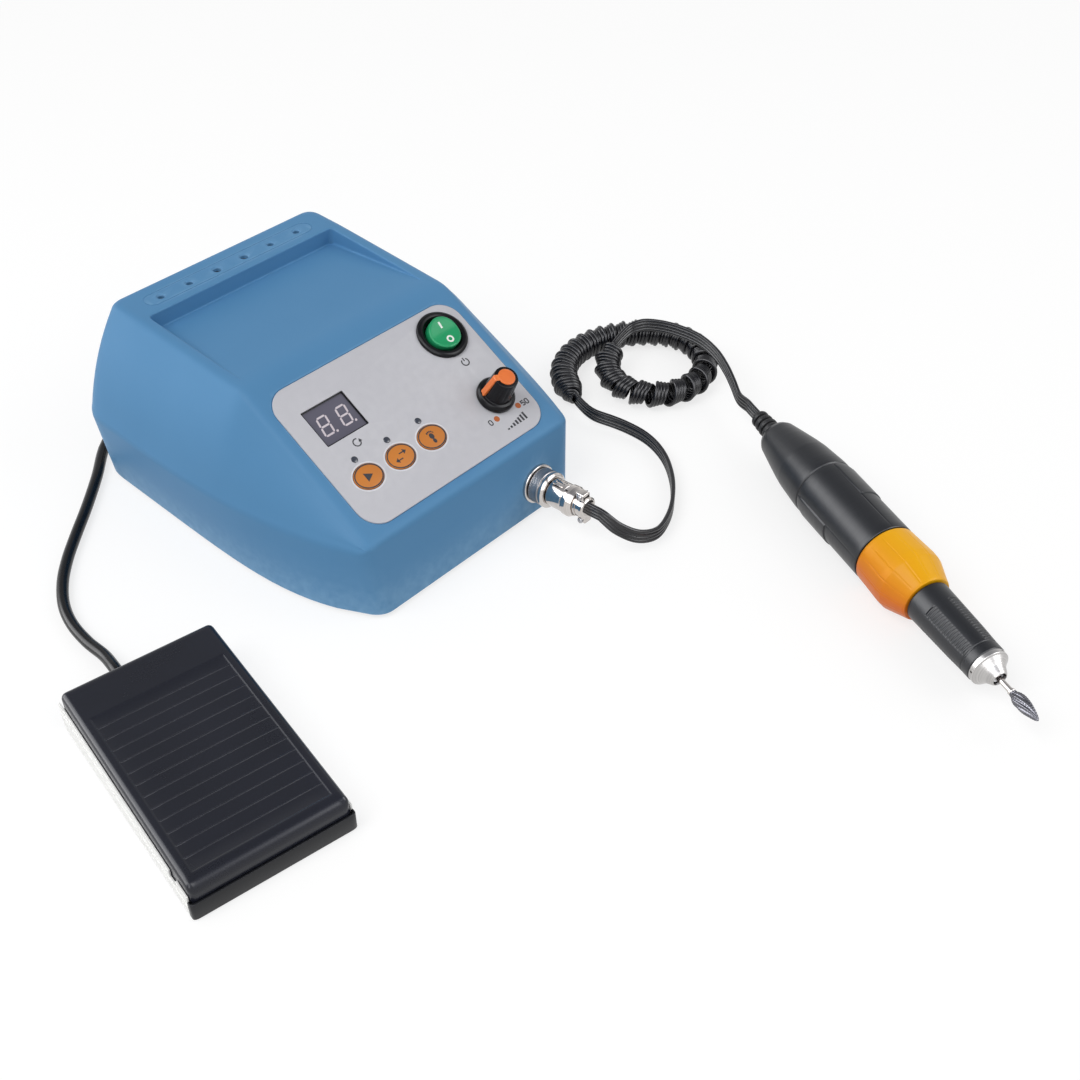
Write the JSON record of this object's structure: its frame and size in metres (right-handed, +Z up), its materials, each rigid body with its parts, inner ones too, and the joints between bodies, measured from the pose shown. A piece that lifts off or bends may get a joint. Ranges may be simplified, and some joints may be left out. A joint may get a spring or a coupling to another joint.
{
  "type": "dental micromotor",
  "caption": "Wedge-shaped bench control box with a straight motor handpiece on a curly flat cord and a foot pedal on a round cord.",
  "frame": {"origin": "centre of the footprint of box, handpiece and pedal on the bench", "axes": "+Z up, -Y the way the box faces, +X to its right"},
  "size_m": [0.3777, 0.47, 0.079],
  "materials": {
    "blue_shell": "satin",
    "black_plastic": "satin",
    "black_rubber": "matte",
    "cord_black": "satin",
    "bright_metal": "polished",
    "steel": "satin",
    "panel_grey": "satin",
    "display": "gloss",
    "board_green": "satin",
    "orange_plastic": "satin",
    "green_rocker": "gloss",
    "iron_core": "satin",
    "copper": "satin",
    "brown_resin": "matte",
    "carbon": "matte",
    "carbide": "satin"
  },
  "bodies": {
    "unit": {"top_shell": "blue_shell", "base_plate": "black_plastic", "rubber_feet": "black_rubber", "base_screws": "steel", "bur_bushes": "bright_metal", "panel_sheet": "panel_grey", "display_block": "display", "indicator_lamps": "display", "panel_board": "board_green", "key_switches": "black_plastic", "switch_body": "black_plastic", "speed_pot": "steel", "transformer": "iron_core", "main_board": "board_green", "front_socket": "bright_metal", "socket_nut": "bright_metal", "mains_gland": "black_plastic", "pedal_inlet": "black_rubber", "plug_body": "bright_metal", "cord_clamp": "bright_metal", "clamp_screws": "bright_metal", "strain_relief": "black_rubber", "rear_cap": "black_plastic", "motor_case": "black_plastic", "stator_magnets": "iron_core", "brush_holder": "brown_resin", "carbon_brushes": "carbon", "bearings": "steel", "spindle_housing": "bright_metal", "nose_sleeve": "black_plastic", "nose_cap": "bright_metal", "pedal_base": "black_plastic", "side_rails": "steel", "pedal_hinge_pin": "steel", "pedal_spring": "steel", "pedal_switch": "black_plastic", "pedal_feet": "black_rubber", "pedal_gland": "black_rubber", "plug_ribbon": "cord_black", "curly_cord": "cord_black", "handpiece_ribbon": "cord_black", "pedal_cord": "cord_black", "pedal_cord_coil": "cord_black", "pedal_cord_tail": "cord_black", "coil_tie": "steel"},
    "rocker": {"power_rocker": "green_rocker"},
    "knob": {"speed_knob": "black_plastic", "knob_pointer": "orange_plastic", "pot_shaft": "steel"},
    "start_key": {"start_button": "orange_plastic"},
    "direction_key": {"direction_button": "orange_plastic"},
    "mode_key": {"mode_button": "orange_plastic"},
    "coupling": {"coupling_ring": "bright_metal"},
    "chuck": {"chuck_ring": "orange_plastic"},
    "rotor": {"armature": "copper", "drive_coupling": "steel", "spindle": "steel", "collet": "steel", "bur": "carbide"},
    "treadle": {"pedal_cover": "black_plastic"}
  },
  "joints": [
    {"name": "rocker_tilt", "type": "hinge", "parent": "unit", "child": "rocker", "pos_m": [0.0608, 0.07823, 0.06575], "axis": [-1, 0, 0], "range_deg": [0, 14]},
    {"name": "knob_turn", "type": "hinge", "parent": "unit", "child": "knob", "pos_m": [0.0608, 0.04641, 0.04997], "axis": [0, -0.4695, 0.8829], "range_deg": [-211, 81]},
    {"name": "start_press", "type": "slide", "parent": "unit", "child": "start_key", "axis": [0, 0.4695, -0.8829], "range_m": [0, 0.0005], "stiffness_N_per_m": 1500, "springref_m": -0.0003},
    {"name": "direction_press", "type": "slide", "parent": "unit", "child": "direction_key", "axis": [0, 0.4695, -0.8829], "range_m": [0, 0.0005], "stiffness_N_per_m": 1500, "springref_m": -0.0003},
    {"name": "mode_press", "type": "slide", "parent": "unit", "child": "mode_key", "axis": [0, 0.4695, -0.8829], "range_m": [0, 0.0005], "stiffness_N_per_m": 1500, "springref_m": -0.0003},
    {"name": "coupling_turn", "type": "hinge", "parent": "unit", "child": "coupling", "pos_m": [0.0613, 0.02213, 0.016], "axis": [0, -0.9961, 0.0879], "continuous": true},
    {"name": "chuck_twist", "type": "hinge", "parent": "unit", "child": "chuck", "pos_m": [0.16, -0.0332, 0.015], "axis": [-0.3907, -0.9205, 0], "range_deg": [0, 60]},
    {"name": "rotor_spin", "type": "hinge", "parent": "unit", "child": "rotor", "pos_m": [0.16, -0.0332, 0.015], "axis": [-0.3907, -0.9205, 0], "continuous": true},
    {"name": "treadle_press", "type": "hinge", "parent": "unit", "child": "treadle", "pos_m": [-0.12127, 0.05222, 0.0115], "axis": [0.9848, -0.1736, 0], "range_deg": [0, 2.5], "stiffness_Nm_per_rad": 6, "springref_deg": -3.44, "deforming": ["pedal_spring"]}
  ]
}
